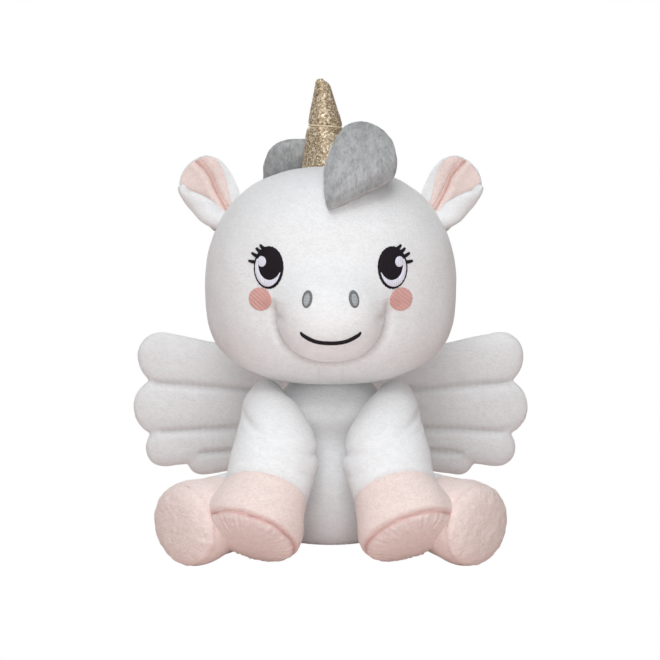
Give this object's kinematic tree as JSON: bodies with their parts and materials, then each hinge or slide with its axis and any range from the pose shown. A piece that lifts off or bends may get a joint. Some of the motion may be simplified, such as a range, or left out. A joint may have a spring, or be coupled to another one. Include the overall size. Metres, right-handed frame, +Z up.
{
  "type": "plush unicorn",
  "caption": "Sitting plush unicorn with a large round head, glitter horn, grey mane, stuffed hooves and feathered wings.",
  "frame": {"origin": "centre of the flat seat's underside, which is the plane the toy sits on", "axes": "+Z up, +Y towards the toy's back, +X towards the toy's own left"},
  "size_m": [0.201, 0.1726, 0.2199],
  "materials": {
    "white_plush": "short pile, matt",
    "pink_plush": "short pile, matt",
    "ear_satin": "short pile, matt",
    "grey_plush": "longer brushed pile, matt",
    "gold_glitter": "fine glitter on woven backing",
    "gold_thread": "sewing thread",
    "black_thread": "embroidery thread, low sheen",
    "white_thread": "embroidery thread, low sheen",
    "pink_thread": "embroidery thread, low sheen",
    "grey_thread": "embroidery thread, low sheen",
    "wadding": "loose fibre",
    "calico": "plain weave",
    "pellets": "smooth beads, modelled as one mass"
  },
  "bodies": {
    "torso": {"torso_cover": "white_plush", "seat_panel": "white_plush", "torso_stuffing": "wadding", "pellet_bag": "calico", "pellet_fill": "pellets", "care_label": "calico"},
    "neck": {"neck_wad": "wadding"},
    "head": {"head_cover": "white_plush", "head_stuffing": "wadding", "muzzle_cover": "white_plush", "muzzle_stuffing": "wadding", "eye_left": "black_thread", "eye_white_left": "white_thread", "cheek_left": "pink_thread", "nostril_left": "grey_thread", "eye_right": "black_thread", "eye_white_right": "white_thread", "cheek_right": "pink_thread", "nostril_right": "grey_thread", "mouth": "black_thread", "horn_cover": "gold_glitter", "horn_stuffing": "wadding", "horn_thread": "gold_thread"},
    "ear_left": {"ear_left_back": "white_plush", "ear_left_lining": "ear_satin"},
    "ear_right": {"ear_right_back": "white_plush", "ear_right_lining": "ear_satin"},
    "forelock": {"forelock_cover": "grey_plush", "forelock_stuffing": "wadding"},
    "crest": {"crest_cover": "grey_plush", "crest_stuffing": "wadding"},
    "mane_upper": {"mane_upper_cover": "grey_plush", "mane_upper_stuffing": "wadding"},
    "mane_lower": {"mane_lower_cover": "grey_plush", "mane_lower_stuffing": "wadding"},
    "front_leg_left": {"front_leg_left_sleeve": "white_plush", "front_leg_left_hoof": "pink_plush", "front_leg_left_sole": "pink_plush", "front_leg_left_stuffing": "wadding"},
    "front_leg_right": {"front_leg_right_sleeve": "white_plush", "front_leg_right_hoof": "pink_plush", "front_leg_right_sole": "pink_plush", "front_leg_right_stuffing": "wadding"},
    "rear_leg_left": {"rear_leg_left_sleeve": "white_plush", "rear_leg_left_hoof": "pink_plush", "rear_leg_left_sole": "pink_plush", "rear_leg_left_stuffing": "wadding"},
    "rear_leg_right": {"rear_leg_right_sleeve": "white_plush", "rear_leg_right_hoof": "pink_plush", "rear_leg_right_sole": "pink_plush", "rear_leg_right_stuffing": "wadding"},
    "wing_left": {"wing_left_front": "white_plush", "wing_left_back": "white_plush", "wing_left_wadding": "wadding"},
    "wing_right": {"wing_right_front": "white_plush", "wing_right_back": "white_plush", "wing_right_wadding": "wadding"},
    "tail": {"tail_cover": "grey_plush", "tail_stuffing": "wadding"}
  },
  "joints": [
    {"name": "head_turn", "type": "hinge", "parent": "torso", "child": "neck", "pos_m": [0, 0, 0.055], "axis": [0, 0, 1], "range_deg": [-20, 20], "stiffness_Nm_per_rad": 1},
    {"name": "head_nod", "type": "hinge", "parent": "neck", "child": "head", "pos_m": [0, 0, 0.055], "axis": [1, 0, 0], "range_deg": [-5, 3], "stiffness_Nm_per_rad": 1.5},
    {"name": "ear_left_flap", "type": "hinge", "parent": "head", "child": "ear_left", "pos_m": [0.05068, -0.0025, 0.155], "axis": [-0.809, 0, 0.5878], "range_deg": [-20, 20], "stiffness_Nm_per_rad": 0.02},
    {"name": "ear_right_flap", "type": "hinge", "parent": "head", "child": "ear_right", "pos_m": [-0.05068, -0.0025, 0.155], "axis": [-0.809, 0, -0.5878], "range_deg": [-20, 20], "stiffness_Nm_per_rad": 0.02},
    {"name": "forelock_lift", "type": "hinge", "parent": "head", "child": "forelock", "pos_m": [-0.001, -0.049, 0.16], "axis": [1, 0, 0], "range_deg": [0, 10], "stiffness_Nm_per_rad": 0.05},
    {"name": "crest_lift", "type": "hinge", "parent": "head", "child": "crest", "pos_m": [-0.003, 0.027, 0.167], "axis": [-1, 0, 0], "range_deg": [0, 10], "stiffness_Nm_per_rad": 0.05},
    {"name": "mane_upper_lift", "type": "hinge", "parent": "head", "child": "mane_upper", "pos_m": [-0.004, 0.042, 0.136], "axis": [-1, 0, 0], "range_deg": [0, 10], "stiffness_Nm_per_rad": 0.05},
    {"name": "mane_lower_lift", "type": "hinge", "parent": "head", "child": "mane_lower", "pos_m": [0.004, 0.044, 0.104], "axis": [-1, 0, 0], "range_deg": [0, 10], "stiffness_Nm_per_rad": 0.05},
    {"name": "front_leg_left_raise", "type": "hinge", "parent": "torso", "child": "front_leg_left", "pos_m": [0.031, -0.012, 0.072], "axis": [-0.8384, 0, -0.545], "range_deg": [0, 12], "stiffness_Nm_per_rad": 0.4},
    {"name": "front_leg_right_raise", "type": "hinge", "parent": "torso", "child": "front_leg_right", "pos_m": [-0.031, -0.012, 0.072], "axis": [-0.8384, 0, 0.545], "range_deg": [0, 12], "stiffness_Nm_per_rad": 0.4},
    {"name": "rear_leg_left_spread", "type": "hinge", "parent": "torso", "child": "rear_leg_left", "pos_m": [0.037, -0.008, 0.021], "axis": [0, 0, 1], "range_deg": [0, 18], "stiffness_Nm_per_rad": 0.4},
    {"name": "rear_leg_right_spread", "type": "hinge", "parent": "torso", "child": "rear_leg_right", "pos_m": [-0.037, -0.008, 0.021], "axis": [0, 0, -1], "range_deg": [0, 18], "stiffness_Nm_per_rad": 0.4},
    {"name": "wing_left_flap", "type": "hinge", "parent": "torso", "child": "wing_left", "pos_m": [0.012, 0.0415, 0.054], "axis": [0, 0, -1], "range_deg": [-30, 16], "stiffness_Nm_per_rad": 0.12},
    {"name": "wing_right_flap", "type": "hinge", "parent": "torso", "child": "wing_right", "pos_m": [-0.012, 0.0415, 0.054], "axis": [0, 0, 1], "range_deg": [-30, 16], "stiffness_Nm_per_rad": 0.12},
    {"name": "tail_wag", "type": "hinge", "parent": "torso", "child": "tail", "pos_m": [0, 0.037, 0.021], "axis": [0, 0, 1], "range_deg": [-18, 18], "stiffness_Nm_per_rad": 0.05}
  ]
}
